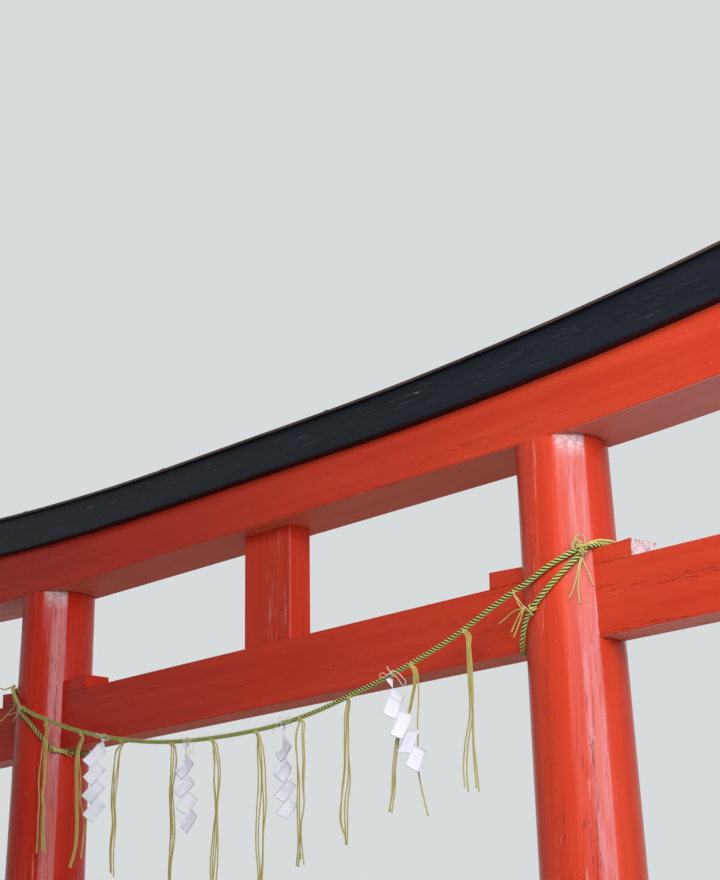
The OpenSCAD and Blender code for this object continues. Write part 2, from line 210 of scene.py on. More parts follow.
def vermilion(name, stretch, edge, wear=1.0, under=None, chalked_and_highlit=None, bare=None):
    """Vermilion gloss on timber. `stretch` draws the pattern out along the grain, `edge` gives the distance
    from the nearest sharp edge or joint, and `wear` scales how far the paint there has chipped. `under`
    gives the height above the underside, where the red is dulled and turned a dusty pink, paler towards
    the ends: weathering, with a painted reflection of the pale floor. `chalked_and_highlit` gives the
    share to which the red is paled to a chalky pink: sun chalking, and on the posts a painted highlight.
    `bare` gives the share to which it has peeled off white primer."""
    f = Finish(name)
    near = edge(f)
    coat = f.noise(stretch * 3.2, detail=4, rough=0.55)
    streak = f.noise(stretch * 9, detail=5, rough=0.6, warp=0.4)
    brush = f.noise(stretch * 85)
    cloud = f.noise((1.1, 1.1, 1.1))
    nick = f.noise((70, 70, 70), rough=0.6)
    # Deeper, darker red towards the left and paler orange towards the right, in slow patches: painted shade
    # on the left, with sun fading.
    faded_and_lit_right = (f.x * 0.25 + cloud * 0.5).step(0.1, 1.1)
    red = f.mix(coat.step(0.3, 0.72), tint(186, 36, 20), tint(200, 44, 25))
    red = f.mix(faded_and_lit_right, red, f.mix(coat.step(0.3, 0.72), tint(200, 60, 36), tint(214, 72, 44)))
    red = f.mix(cloud.step(0.35, 0.7) * 0.35, red, tint(184, 42, 28))
    red = f.mix(streak.step(0.56, 0.75) * 0.18, red, tint(216, 84, 58))
    underside_band = 0
    if under:
        # The underside is painted a dusty pink, paler towards the ends: weathering, with a painted
        # reflection of the pale floor.
        underside_band = under(f).step(0.0016, 0.0006)
        dusty_pink_and_sheen = f.mix(abs(f.x - gate_middle).step(0.9, 2.0), tint(214, 104, 76), tint(228, 146, 136))
        red = f.mix(underside_band * (coat * 0.5 + 0.55), red, dusty_pink_and_sheen)
    # A chalky pink over the red: sun chalking, and on the posts a painted highlight.
    if chalked_and_highlit:
        chalk_highlight_mask = chalked_and_highlit(f) * f.noise(stretch * 20, detail=4, rough=0.65).step(0.2, 0.55)
        red = f.mix(chalk_highlight_mask * (cloud * 0.5 + 0.4), red, f.mix(streak.step(0.4, 0.6), tint(206, 118, 112),
                                                            tint(212, 146, 156)))
    poor = f.noise(stretch * 1.3, detail=2).step(0.53, 0.63)
    check = abs(f.noise(stretch * 5.5, detail=5, rough=0.62, warp=0.3) - 0.5).step(0.008, 0.002) * poor
    flake = (f.noise(stretch * 16, detail=4, rough=0.7) + poor * 0.12).step(0.715, 0.735)
    spot, spot_pick = f.specks(stretch * 16 + 22)
    chip = spot.step(0.1, 0.07) * spot_pick.step(0.94, 0.95)
    worn = (near * 300 + (nick - 0.5) * 9 * wear).step(0.45, -0.25)
    worn = worn * f.noise((9, 9, 9)).step(0.42, 0.58) * wear
    red = f.mix(check * 0.8, red, tint(96, 30, 24))
    red = f.mix(flake * 0.55, red, tint(222, 140, 124))
    if bare:
        worn = worn.most(bare(f) * (nick * 1.4 + f.noise((26, 26, 26), detail=3) * 0.6).step(1.32, 1.14))
    ground = f.mix(nick.step(0.4, 0.6), tint(186, 160, 160), tint(226, 216, 222))
    red = f.mix(worn.most(chip * 0.8), red, ground)
    f.set(Base_Color=red, Roughness=streak * 0.14 + (flake + worn) * 0.3 + underside_band * 0.3 + 0.15,
          Specular_IOR_Level=0.11)
    f.relief((cloud, 0.02), (coat, 0.0035), (streak, 0.0011), (brush, 0.00022),
             (1 - check.most(flake * 0.5).most(chip).most(worn * 0.5), 0.0007))
    return f


def post_edge(f):
    """Distance from the edge of the slot for the tie beam and its wedges, or from the post's top."""
    slot = abs(abs(f.y) - slot_half).most((abs(f.z - slot_middle) - slot_rise).most(0))
    return slot.least(abs(f.z - post_top))


def bar_edge(across, low, high):
    """Distance from a bar's nearest long edge, on any face of it: the larger of the distances from its
    two pairs of sides, as one of them is nought there."""
    return across.most(low.least(high))


def swept(f, base, flat, radius):
    """Height of a swept edge: level out to `flat` from the middle, then higher by the square of the way
    past it over twice the radius."""
    out = (abs(f.x - gate_middle) - flat).most(0)
    return out * out * (0.5 / radius) + base


def chalk_and_highlight(f):
    """How far a post is paled to a chalky pink, which is partly sun chalking and partly a painted highlight:
    fully in a band that faces front and right, in patches beyond its left side, mostly near the top, and
    nowhere else. It's read from the place's direction from the post's axis, which leans in by two degrees."""
    across_x, across_y, per_radius = 0.616, 0.788, 6.3
    beside = f.x - gate_middle
    out = beside - beside.math("SIGN") * (half_span - f.z * post_lean)
    round_to = (out * across_x + f.y * across_y) * per_radius
    ragged = (f.noise(along_post * 5, detail=4, rough=0.6) - 0.5) * 0.2
    band = (round_to + ragged * 0.15).step(0.28, 0.23) * (round_to + ragged).step(-0.14, -0.03)
    patchy = f.noise(along_post * 2.2, detail=5).step(0.5, 0.68)
    patches = round_to.step(-0.62, -0.35) * round_to.step(0.1, -0.1) * patchy
    crown = f.z.step(3.1, 3.35) * (round_to + ragged * 2).step(-0.36, -0.2) * round_to.step(0.1, -0.1)
    front = (out * across_y - f.y * across_x).step(0.02, 0.05)
    return (band + patches * 0.4).most(crown * 0.7).least(1) * front


# The posts are paled to a chalky pink in a band down their front and right and in patches beside it: a
# painted highlight over sun chalking. Near the top of that band the paint is peeled to white primer.
vermilion("vermilion_posts", along_post, post_edge, chalked_and_highlit=chalk_and_highlight,
          bare=lambda f: chalk_and_highlight(f) * f.z.step(3.27, 3.36) * 0.9).on("left_post", "right_post")
vermilion("vermilion_tie_beam", along_beam,
          lambda f: bar_edge(tie_half - abs(f.y), f.z - tie_foot, tie_top - f.z),
          wear=0.4, under=lambda f: f.z - tie_foot).on("tie_beam")
vermilion("vermilion_strut", along_post,
          lambda f: (strut_half_wide - abs(f.x - gate_middle)).most(strut_half - abs(f.y)),
          wear=0.4).on("centre_strut")
vermilion("vermilion_wedges", along_beam,
          lambda f: bar_edge(tie_half - abs(f.y), f.z - tie_top, wedge_top - f.z),
          wear=0.7, bare=lambda f: f.x.step(*wedge_end)).on(
    "left_outer_wedge", "left_inner_wedge", "right_inner_wedge", "right_outer_wedge")
vermilion("vermilion_lower_lintel", along_beam,
          lambda f: bar_edge(lintel_half - abs(f.y), f.z - swept(f, *lintel_foot),
                             swept(f, *lintel_top) - f.z), wear=0.3,
          under=lambda f: f.z - swept(f, *lintel_foot)).on("lower_lintel")

# The top lintel, and the bands round the feet of the posts, are painted black. The paint is older and duller
# than the red: weather has scuffed its grain to chalky white lines, and has paled one edge of each, the
# lintel's lower one and the bands' upper one.
def weathered_black(name, stretch, near, scuffed):
    """Black paint on timber: `near` is the distance from a sharp edge, and `scuffed` where it has worn."""
    f = Finish(name)
    coat = f.noise(stretch * 2.2, detail=4)
    grain = f.noise(stretch * 26, detail=5, rough=0.65)
    patch = f.noise(stretch * (0.9, 0.35, 0.35), detail=2)
    black = f.mix(coat.step(0.35, 0.7), tint(4, 9, 17), tint(13, 20, 34))
    scuff = (grain + patch * 0.35).step(0.83, 0.87) * scuffed(f)
    fade = (grain + patch * 0.3).step(0.66, 0.86) * 0.4 * scuffed(f)
    nick = f.noise((60, 60, 60), rough=0.65)
    worn = (near(f) * 260 + (nick - 0.5) * 6).step(0.7, 0.0) * patch.step(0.38, 0.6)
    black = f.mix(fade, black, tint(86, 92, 96))
    black = f.mix(scuff * 0.8, black, tint(196, 196, 190))
    f.set(Base_Color=f.mix(worn, black, tint(136, 138, 140)), Roughness=0.4 + grain * 0.2,
          Specular_IOR_Level=0.2)
    f.relief((coat, 0.004), (grain, 0.0012), (1 - scuff.most(worn), 0.0004))
    return f


black_half, band_top, scuffed_line = 0.161, 0.460, (3.598, 0.45, 18.0)
weathered_black("black_top_lintel", along_beam,
                lambda f: bar_edge(black_half - abs(f.y), f.z - swept(f, *lintel_top), 1),
                lambda f: abs(f.z - swept(f, *scuffed_line)).step(0.055, 0.02)).on("top_lintel")
weathered_black("black_foot_bands", along_post, lambda f: abs(f.z - band_top),
                lambda f: f.z.step(0.40, 0.13)).on("left_foot_band", "right_foot_band")

# The roof sheet is thin metal over boards, dark brown from years of weather, folded down at its edges and
# joined across every metre or so with a flat seam.
metal = Finish("roof_metal")
cloud = metal.noise((4, 9, 9), detail=5, rough=0.6)
run = metal.noise((60, 5, 5), detail=3)
brown = metal.mix(cloud.step(0.35, 0.68), tint(44, 34, 34), tint(82, 60, 54))
brown = metal.mix(run.step(0.55, 0.75) * 0.5, brown, tint(104, 84, 72))
rust = metal.noise((22, 22, 22), detail=5, rough=0.7).step(0.62, 0.7)
brown = metal.mix(rust * 0.6, brown, tint(118, 70, 44))
metal.set(Base_Color=brown, Metallic=0.35, Roughness=0.5)
metal.relief((cloud, 0.004), (metal.noise((180, 180, 180)), 0.0006))
metal.on("roof_sheet")

# The rope is laid up from three strands of rice straw, pale on their outer sides and green between, with
# painted light on the crests of the strands and painted shade in the grooves. Its span hangs in front of
# the tie beam, and at each post it turns once round, over the beam on the outside and under it on the
# inside, to a knot at the front.
rope_thick, rope_lay = 0.017, 0.0438
span_route = np.array([
    [2965, -98, 2994], [2957, -107, 2990], [2943, -121, 2981], [2926, -134, 2970], [2909, -143, 2961],
    [2884, -153, 2948], [2850, -160, 2930], [2796, -164, 2906], [2746, -165, 2890], [2682, -165, 2867],
    [2600, -165, 2835], [2500, -165, 2797], [2400, -165, 2766], [2300, -165, 2739],
    [2200, -165, 2715], [2100, -165, 2694], [2000, -165, 2675], [1900, -165, 2657], [1800, -165, 2643],
    [1700, -165, 2633], [1600, -165, 2628], [1500, -165, 2627], [1400, -165, 2628], [1300, -165, 2631],
    [1200, -165, 2636], [1100, -165, 2644], [1000, -165, 2655], [900, -165, 2670], [800, -165, 2688],
    [700, -165, 2709], [600, -165, 2733], [500, -165, 2760], [400, -165, 2791], [300, -165, 2826],
    [200, -165, 2863], [124, -168, 2897]]) / 1000
right_turn_route = np.array([
    [2975, -84, 2993], [2965, -98, 2979], [2953, -112, 2962], [2939, -125, 2944], [2913, -141, 2916],
    [2868, -158, 2872], [2821, -159, 2835],
    [2784, -150, 2806], [2758, -137, 2774], [2734, -118, 2742], [2709, -88, 2721], [2691, -47, 2721],
    [2683, 0, 2721], [2691, 47, 2721], [2709, 88, 2723], [2734, 118, 2742], [2763, 140, 2776],
    [2797, 154, 2816], [2840, 160, 2858], [2883, 154, 2900], [2922, 135, 2940], [2954, 106, 2980],
    [2977, 70, 3005], [2992, 25, 3010], [2992, -25, 3010], [2985, -60, 3006], [2979, -80, 3000]]) / 1000
left_turn_route = np.array([
    [110, -159, 2882], [146, -153, 2848], [181, -138, 2806], [207, -118, 2768], [231, -88, 2726],
    [249, -47, 2721], [257, 0, 2721], [249, 47, 2721], [231, 88, 2724], [206, 118, 2742],
    [177, 140, 2776], [143, 154, 2816], [100, 160, 2858], [57, 154, 2900], [18, 135, 2940],
    [-14, 106, 2980], [-37, 70, 3005], [-51, 25, 3006], [-51, -25, 3006], [-38, -70, 3004],
    [-10, -111, 2986], [29, -141, 2960], [64, -157, 2935], [86, -164, 2918]]) / 1000


def run_along(points):
    """How far along a line each of its points is."""
    return np.concatenate([[0], np.cumsum(np.linalg.norm(np.diff(points, axis=0), axis=1))])


def through(points, step):
    """A smooth line through the points, as points about one step apart. Between two of them it is the
    cubic that leaves and meets them at the slopes that the points on either side of them give."""
    points = np.array(points, float)
    at = run_along(points)
    slope = np.gradient(points, at, axis=0)
    fine = np.linspace(0, at[-1], 30 * len(points))
    i = np.clip(np.searchsorted(at, fine, side="right") - 1, 0, len(at) - 2)
    h = (at[i + 1] - at[i])[:, None]
    t = (fine - at[i])[:, None] / h
    line = ((2 * t ** 3 - 3 * t ** 2 + 1) * points[i] + (t ** 3 - 2 * t ** 2 + t) * h * slope[i]
            + (3 * t ** 2 - 2 * t ** 3) * points[i + 1] + (t ** 3 - t ** 2) * h * slope[i + 1])
    run = run_along(line)
    even = np.linspace(0, run[-1], max(int(round(run[-1] / step)), 4) + 1)
    return np.column_stack([np.interp(even, run, line[:, k]) for k in range(3)])


def laid_rings(path, lead, thick, lay, strands=3, points=30, start=0.0, swell=None):
    """The surface of a laid rope along a path: rings of points, and how near each is to a strand's crest.
    In a ring, the distance from the middle at each angle is that to the outside of round strands that
    touch each other; the angles turn once in each lay's length. `lead` is the direction the angles start
    from, `start` the first ring's angle, and `swell` scales the thickness at each point of the path."""
    along = np.gradient(path, axis=0)
    along /= np.linalg.norm(along, axis=1)[:, None]
    first = lead - (lead * along).sum(1)[:, None] * along
    first /= np.linalg.norm(first, axis=1)[:, None]
    second = np.cross(along, first)
    run = run_along(path)
    angle = np.arange(points) * 2 * np.pi / points
    side = (angle + np.pi / strands) % (2 * np.pi / strands) - np.pi / strands
    off = thick / 2 / (1 + np.sin(np.pi / strands))
    small = thick / 2 - off
    reach = off * np.cos(side) + np.sqrt(np.maximum(small ** 2 - (off * np.sin(side)) ** 2, 0))
    swell = np.ones(len(path)) if swell is None else swell
    reach = np.maximum(reach, thick * 0.12)[None, :] * swell[:, None]
    facing = angle[None, :] + (start + run / lay * 2 * np.pi)[:, None]
    rings = (path[:, None] + (reach * np.cos(facing))[..., None] * first[:, None]
             + (reach * np.sin(facing))[..., None] * second[:, None])
    return rings, np.broadcast_to(1 - abs(side) * strands / np.pi, facing.shape)


def mesh_piece(name, points, faces, finish):
    """A smooth mesh in this finish, as a piece of the gate."""
    mesh = bpy.data.meshes.new(name)
    mesh.from_pydata(np.vstack(points).tolist(), [], faces)
    mesh.shade_smooth()
    mesh.materials.append(finish.material)
    piece = bpy.data.objects.new(name, mesh)
    bpy.context.scene.collection.objects.link(piece)
    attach(piece, "root")
    return piece


def tube_piece(name, tubes, finish):
    """One mesh from several tubes of rings: each ring is joined to the next and round on itself, and each
    end is closed by one face. Each point holds how near it is to a crest."""
    points, faces, crest, first = [], [], [], 0
    for rings, crests in tubes:
        n, m = rings.shape[:2]
        at = first + np.arange(n * m).reshape(n, m)
        here, there = at[:-1], at[1:]
        quads = np.stack([here, np.roll(here, -1, 1), np.roll(there, -1, 1), there], -1).reshape(-1, 4)
        faces += quads.tolist() + [at[0, ::-1].tolist(), at[-1].tolist()]
        points.append(rings.reshape(-1, 3))
        crest.append(crests.ravel())
        first += n * m
    piece = mesh_piece(name, points, faces, finish)
    held = piece.data.attributes.new("crest", "FLOAT", "POINT")
    held.data.foreach_set("value", np.concatenate(crest).astype("f"))
    return piece


def straw(name, crest_light_tint, groove_shade_tint, edge, fibre_scale):
    """Laid straw: pale along the crests of the strands and dark between them, with fine fibres: the straw's
    own colour, with painted light on the crests and painted shade in the grooves.
    """
    f = Finish(name)
    crest = f.stored("crest")
    fibre = f.noise((fibre_scale,) * 3, detail=4, rough=0.65)
    along = f.noise((5, 5, 5), detail=2)
    pale = f.mix(fibre.step(0.35, 0.65), crest_light_tint[0], crest_light_tint[1])
    share = (crest + (fibre - 0.5) * 0.35).step(*edge)
    f.set(Base_Color=f.mix(share, f.mix(along.step(0.4, 0.65), *groove_shade_tint), pale), Roughness=0.72,
          Specular_IOR_Level=0.3)
    f.relief((fibre, 0.0009))
    return f


rope_straw = straw("laid_rope_straw", (tint(174, 178, 86), tint(212, 214, 140)),
                   (tint(44, 78, 18), tint(72, 96, 28)), (0.42, 0.6), 700)
post_axis = {"left": 0.100, "right": 2.840}


def away_from(path, axis_x):
    """Level directions from a post's axis to each point of a path."""
    return (path - [axis_x, 0, 0]) * [1, 1, 0]


for name, route, lead in (("rope", span_route, None), ("rope_turn_left", left_turn_route, "left"),
                          ("rope_turn_right", right_turn_route, "right")):
    path = through(route, 0.0024)
    lead = away_from(path, post_axis[lead]) if lead else np.array([0, 0, 1.0])
    piece = tube_piece(name, [laid_rings(path, lead, rope_thick, rope_lay)], rope_straw)
    "hanging" if name == "rope" else "taut"
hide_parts("rope_span")
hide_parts("left_rope_turn")
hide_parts("right_rope_turn")

# Ten tassels hang from the rope. Each is four yarns of three-ply straw drawn through the lay of the rope,
# some to the left and some to the right. They arch out from under it, hang in loose waves and end in a
# plain cut, where they spread a little.
yarn_thick, yarn_lay = 0.0056, 0.0198
bundle_thick = (yarn_thick, 0.011, 0.015)
# The yarns are paler on the crests of their plies and darker between them: painted light and painted shade
# over the straw's own colour.
tassel_straw = straw("yarn_straw", (tint(218, 204, 104), tint(250, 238, 156)),
                     (tint(84, 80, 24), tint(114, 104, 38)), (0.28, 0.56), 900)
chance = np.random.default_rng(11)


def rope_centre(x):
    """The middle of the rope's span at x, from its route."""
    return np.array([x, np.interp(x, span_route[::-1, 0], span_route[::-1, 1]),
                     np.interp(x, span_route[::-1, 0], span_route[::-1, 2])])


def waves(along, size, count=4):
    """A sum of sine waves, each of less size than the one before, with phases by chance."""
    phase = chance.uniform(0, 2 * np.pi, count)
    return sum(size / (k + 1) ** 1.3 * np.sin((k + 1) * 1.7 * np.pi * along + phase[k])
               for k in range(count))


# For each tassel: where along the gate it is drawn through the rope, then for its left and its right side
# the number of yarns, and points that they hang through: how far along the gate from there, how far
# below, and how far forwards where that isn't nought. Millimetres.
tassels = [
    (307, 1, [(-16, 30), (-31, 71), (-45, 159), (-45, 229), (-36, 301), (-40, 387), (-46, 500)],
     3, [(-2, 30), (-3, 75), (-3, 146), (-9, 233), (-20, 285), (-14, 330), (-20, 379), (0, 504)]),
    (535, 3, [(2, 20), (-18, 45), (-30, 148), (-14, 253), (-11, 355), (-20, 429), (-52, 498)],
     1, [(8, 21), (-2, 65), (3, 203), (-2, 254), (26, 342), (23, 399), (14, 469)]),
    (789, 2, [(-8, 14), (-33, 38), (-42, 93), (-52, 155), (-56, 221), (-46, 296), (-53, 386), (-45, 480)],
     2, [(1, 14), (-14, 40), (-25, 95), (-36, 156), (-41, 223), (-34, 297), (-39, 387), (-33, 492)]),
    (1088, 2, [(2, 14), (5, 33), (-2, 104), (-11, 175), (-6, 247), (0, 325), (-8, 416), (-1, 508)],
     2, [(10, 14), (20, 46), (16, 106), (5, 177), (11, 248), (17, 337), (12, 389), (3, 500)]),
    (1314, 2, [(4, 16), (12, 57), (16, 152), (20, 222), (10, 324), (2, 400), (5, 508)],
     2, [(10, 17), (27, 55), (40, 155), (37, 258), (37, 361), (12, 502)]),
    (1553, 2, [(0, 15), (7, 55), (21, 134), (19, 210), (11, 285), (8, 380), (6, 524)],
     2, [(9, 16), (27, 50), (37, 117), (39, 231), (34, 325), (33, 401), (23, 518)]),
    (1779, 2, [(-6, 15), (-13, 37), (-17, 131), (-13, 244), (-17, 336), (-11, 411), (-22, 486)],
     2, [(6, 15), (5, 58), (9, 171), (15, 284), (2, 349), (6, 431), (12, 480)]),
    (2026, 2, [(-15, 20), (-27, 49), (-31, 123), (-34, 234), (-48, 323), (-52, 395), (-33, 450)],
     2, [(-7, 20), (-16, 70), (-21, 162), (-20, 272), (-26, 344), (-25, 416), (-26, 474)]),
    (2310, 3, [(8, 18, 5), (4, 60, -10), (-20, 105, -20), (-40, 142, -24), (-74, 215, -3), (-84, 300, 6),
               (-88, 400, 12), (-96, 457, 14)],
     1, [(14, 16, 5), (17, 55, -7), (11, 100, -18), (2, 140, -27), (-7, 178, -31), (-9, 240, -28),
         (-11, 300, -25), (-3, 380, -25), (26, 474, -25)]),
    (2543, 2, [(9, 23), (13, 46), (12, 95), (11, 188), (8, 269), (-10, 350), (-17, 422), (-9, 496)],
     2, [(14, 20), (19, 58), (26, 108), (24, 208), (19, 281), (18, 372), (24, 445), (31, 500)])]
for number, (x, *sides) in enumerate(tassels, 1):
    root = rope_centre(x / 1000)
    for name, yarns, points in (("left", *sides[:2]), ("right", *sides[2:])):
        hang = np.array([(*point, 0)[:3] for point in points]) / 1000
        hang = root + np.column_stack([hang[:, 0], -hang[:, 2], -hang[:, 1]])
        out = (root + hang[0]) / 2 - [0, 0.007, 0.002]
        path = through([root, out, *hang], 0.0018)
        along = np.linspace(0, 1, len(path))
        loose = np.minimum(along * 8, 1)[:, None]
        path = path + loose * np.column_stack([waves(along, 0.0012), waves(along, 0.004), 0 * along])
        spin = chance.uniform(-0.4, 0.4) + waves(along, 0.5, 2)
        apart = (yarns > 1) * (0.0032 + 0.0014 * (1 + waves(along, 0.8, 3)).clip(0, 1.5))
        tubes = []
        for k in range(yarns):
            facing = spin + 2 * np.pi * k / yarns
            yarn = path + apart[:, None] * np.column_stack([np.cos(facing), np.sin(facing), 0 * facing])
            yarn = yarn[:len(yarn) - (chance.integers(0, 12) if k else 0)]
            swell = 1 + 0.3 * np.clip(1 - (len(yarn) - np.arange(len(yarn))) / 6, 0, 1)
            tubes.append(laid_rings(yarn, np.array([1.0, 0, 0]), yarn_thick, yarn_lay, points=12,
                                    start=chance.uniform(0, 6), swell=swell))
        piece = tube_piece(f"tassel_{number}_{name}", tubes, tassel_straw)
        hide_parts(f"tassel_{number}")
        bundle_thick[yarns - 1]

# Four streamers of white paper: each is a sheet folded double, slit from either side by turns and folded
# at the slits, so that four tilted panels step down below a pinched neck. The weather has curled them.
paper = Finish("folded_paper")
fibre = paper.noise((180, 180, 180), detail=4)
cockle = paper.noise((38, 38, 38), detail=2)
paper.set(Base_Color=paper.mix(fibre.step(0.3, 0.7), tint(220, 223, 236), tint(234, 236, 245)),
          Roughness=0.85, Specular_IOR_Level=0.25)
paper.relief((cockle, 0.0011), (fibre, 0.00006))
panel_wide, fold_round = 0.045, 0.0030


def turned(lean, swing, turn):
    """Turns about X, then Y, then Z, by degrees, as one matrix."""
    a, b, c = np.radians([lean, swing, turn])
    about_x = np.array([[1, 0, 0], [0, np.cos(a), -np.sin(a)], [0, np.sin(a), np.cos(a)]])
    about_y = np.array([[np.cos(b), 0, np.sin(b)], [0, 1, 0], [-np.sin(b), 0, np.cos(b)]])
    about_z = np.array([[np.cos(c), -np.sin(c), 0], [np.sin(c), np.cos(c), 0], [0, 0, 1]])
    return about_z @ about_y @ about_x


def folded_panel(corner, across, down, width, length, curl, bow):
    """A doubled panel as one strip: it runs down the front from the corner, round a half circle at its
    lower end and up the back again. `curl` lifts the lower end off the panel's plane by the square of the
    way down, and `bow` lifts its middle by a parabola across it. Points on a grid, across by along."""
    facing = np.cross(across, down)
    a = np.linspace(0, 1, 7)
    rows, bend = 18, 7
    flat = length - fold_round
    half_turn = np.linspace(0.3, np.pi - 0.3, bend)
    run = np.concatenate([np.linspace(0, flat, rows), flat + fold_round * np.sin(half_turn),
                          np.linspace(flat, 0.004, rows)])
    gap = np.interp(run, [0, flat], [0.0004, 1]) * fold_round
    side = np.concatenate([gap[:rows], fold_round * np.cos(half_turn), -gap[rows + bend:]])
    lift = (side[None, :] + curl * (run[None, :] / length) ** 2
            + bow * (4 * a * (1 - a))[:, None] * (run / length))
    return (corner + (a * width)[:, None, None] * across + run[None, :, None] * down
            + lift[..., None] * facing)


def neck_fold(top, bottom, wide=0.013):
    """The gathered neck: a triangle that narrows from twice `wide` at the string to a pinch, bowed forwards
    across. Points on a grid, across by down."""
    a, t = np.linspace(-1, 1, 7)[:, None], np.linspace(0, 1, 8)[None, :]
    half = wide * (1 - t) + 0.0008
    depth = -0.004 * (1 - a * a) * (1 - t)
    return np.stack([top[0] + a * half, depth + 0 * a * t, top[2] + (bottom[2] - top[2]) * t + 0 * a], -1)


def neck_join(pinch, corner, across, down, rise):
    """The paper between the pinch and the first panel, as straight lines from the pinch to a bent line:
    up the top of the panel's left side, along its upper edge, and on up past it by `rise`."""
    a, t = np.linspace(0, 3, 16), np.linspace(0.03, 1, 8)[None, :, None]
    side = (corner + (1 - a.clip(0, 1))[:, None] * down * 0.012
            + (a - 1).clip(0, 1)[:, None] * across * panel_wide * 0.98
            - (a - 2).clip(0, 1)[:, None] * down * rise)
    return pinch + (side[:, None] - pinch) * t + np.array([0, -0.0006, 0])


def sheet_piece(name, grids, finish, thick):
    """One mesh from several grids of points, given a thickness by Solidify."""
    points, faces, first = [], [], 0
    for grid in grids:
        n, m = grid.shape[:2]
        at = first + np.arange(n * m).reshape(n, m)
        faces += np.stack([at[:-1, :-1], at[:-1, 1:], at[1:, 1:], at[1:, :-1]], -1).reshape(-1, 4).tolist()
        points.append(grid.reshape(-1, 3))
        first += n * m
    piece = mesh_piece(name, points, faces, finish)
    body = piece.modifiers.new("thickness", "SOLIDIFY")
    body.thickness, body.offset = thick, 0
    return piece


# For each streamer: where its string is on the rope, the string's length, how far its panels are shifted
# along their width, their length, their step and their tilt, how far the paper from the neck reaches down
# before its first fold, the streamer's turn, swing and lean, how far it has twisted about its own string
# at each panel, and each panel's fold out of the streamer's plane, curl and bow. Millimetres and degrees.
streamers = [
    (677, 6, (-42, 82, 48, 40), 2, (40, -3, 0), (4, 38, 21, -6),
     ((-4, 5, 2), (3, -9, 4), (-8, 12, -5), (-14, -4, 3))),
    (1168, 26, (-6, 79, 46, 36), 30, (70, -4, 5), (16, 8, 11, -17),
     ((-20, 9, 5), (-13, 12, 5), (25, 5, 3), (-45, -5, 3))),
    (1690, 22, (0, 72, 53, 39), 29, (16, -3, 0), (85, 76, 25, 69),
     ((-7, 9, 5), (-6, 12, 5), (33, 4, 3), (53, -4, 3))),
    (2204, 30, (-25, 92, 57, 37), 26, (50, 16, 22), (22, -4, 8, 30),
     ((-8, 3, 2), (-9, 5, 2), (30, 6, 2), (3, 3, 2)))]
for number, (x, string, sizes, reach, (turn, swing, lean), twists, panels) in enumerate(streamers, 1):
    shift, long, step, reach = np.array([*sizes[:3], reach]) / 1000
    tilt = np.radians(sizes[3])
    root = rope_centre(x / 1000)
    slope = rope_centre(x / 1000 + 0.02) - rope_centre(x / 1000 - 0.02)
    below = root + 0.0138 * np.array([slope[2], 0, -slope[0]]) / np.hypot(slope[0], slope[2])
    neck = np.array([0, 0, -string / 1000])
    wide = np.array([np.cos(tilt), 0, -np.sin(tilt)])
    down = np.array([-np.sin(tilt), 0, -np.cos(tilt)])
    corner = np.array([panel_wide / 2 + shift, 0, -string / 1000 - 0.008])
    level_of = np.array([0.05, 0.113, 0.176, 0.24]) + string / 1000
    grids = [neck_fold(np.array([0, 0, 0.004]), neck)]
    for k, (fold, curl, bow) in enumerate(panels):
        angle = np.radians(fold)
        across = np.cos(angle) * wide + np.sin(angle) * np.array([0, -1, 0])
        start = corner + down * reach * (k == 0)
        if k == 0:
            grids.append(neck_join(neck, start, across, down, reach))
        grids.append(folded_panel(start, across, down, panel_wide, long - reach * (k == 0),
                                  curl / 1000, bow / 1000))
        corner = corner + across * (panel_wide - 0.0005) + down * step
    hung = []
    for grid in grids:
        angle = np.radians(np.interp(-grid[..., 2], level_of, twists))
        c, s = np.cos(angle), np.sin(angle)
        grid = np.stack([grid[..., 0] * c - grid[..., 1] * s,
                         grid[..., 0] * s + grid[..., 1] * c, grid[..., 2]], -1)
        hung.append(below + grid @ turned(-lean, -swing, turn).T)
    piece = sheet_piece(f"streamer_{number}", hung, paper, 0.0003)
    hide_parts(f"paper_streamer_{number}")

# The knots in the rope are made with its own strands, which wrap the span's end and the turn's end where
# these meet; one more lies along the turn. At the right one crosses the wraps and two loops stand above
# them. Loose straws hang from the right knot and stand out from the left one.
# The knots' strands are also painted paler on their crests and darker in their grooves: painted light and
# painted shade over the straw's own colour.
knot_straw = straw("knot_straw", (tint(206, 198, 100), tint(240, 230, 150)),
                   (tint(62, 78, 26), tint(104, 98, 44)), (0.22, 0.5), 800)


def wraps(centre, along, out, wide, turns, pitch):
    """A helix about the line through the centre: its radius is wide[0] outwards and wide[1] across, and it
    climbs one pitch along the line in each turn."""
    along, out = np.array(along, float), np.array(out, float)
    along /= np.linalg.norm(along)
    out -= (out @ along) * along
    out /= np.linalg.norm(out)
    angle = np.linspace(0, 2 * np.pi * turns, int(14 * turns) + 1)[:, None]
    return (np.array(centre) + along * (angle / (2 * np.pi) - turns / 2) * pitch
            + out * wide[0] * np.cos(angle) + np.cross(along, out) * wide[1] * np.sin(angle))


def strand_piece(name, runs, finish, thick, points=12):
    """One piece from several laid strands, each through its own points in millimetres. A run may give its
    own thickness first."""
    tubes = []
    for run in runs:
        size, run = run if isinstance(run, tuple) else (thick, run)
        path = through(np.array(run) / 1000, size / 3)
        rounded = np.minimum(np.arange(len(path)), len(path) - 1 - np.arange(len(path)))
        tubes.append(laid_rings(path, np.array([0.3, -0.9, 0.3]), size, size * 3.2, points=points,
                                swell=np.interp(rounded, [0, 1], [0.75, 1])))
    return tube_piece(name, tubes, finish)


def free_straw(name, route, thick):
    """A loose straw end from a knot, as a piece of its own. Its route is in millimetres."""
    piece = strand_piece(name, [route], knot_straw, thick, points=9)
    path = through(np.array(route) / 1000, thick / 3)


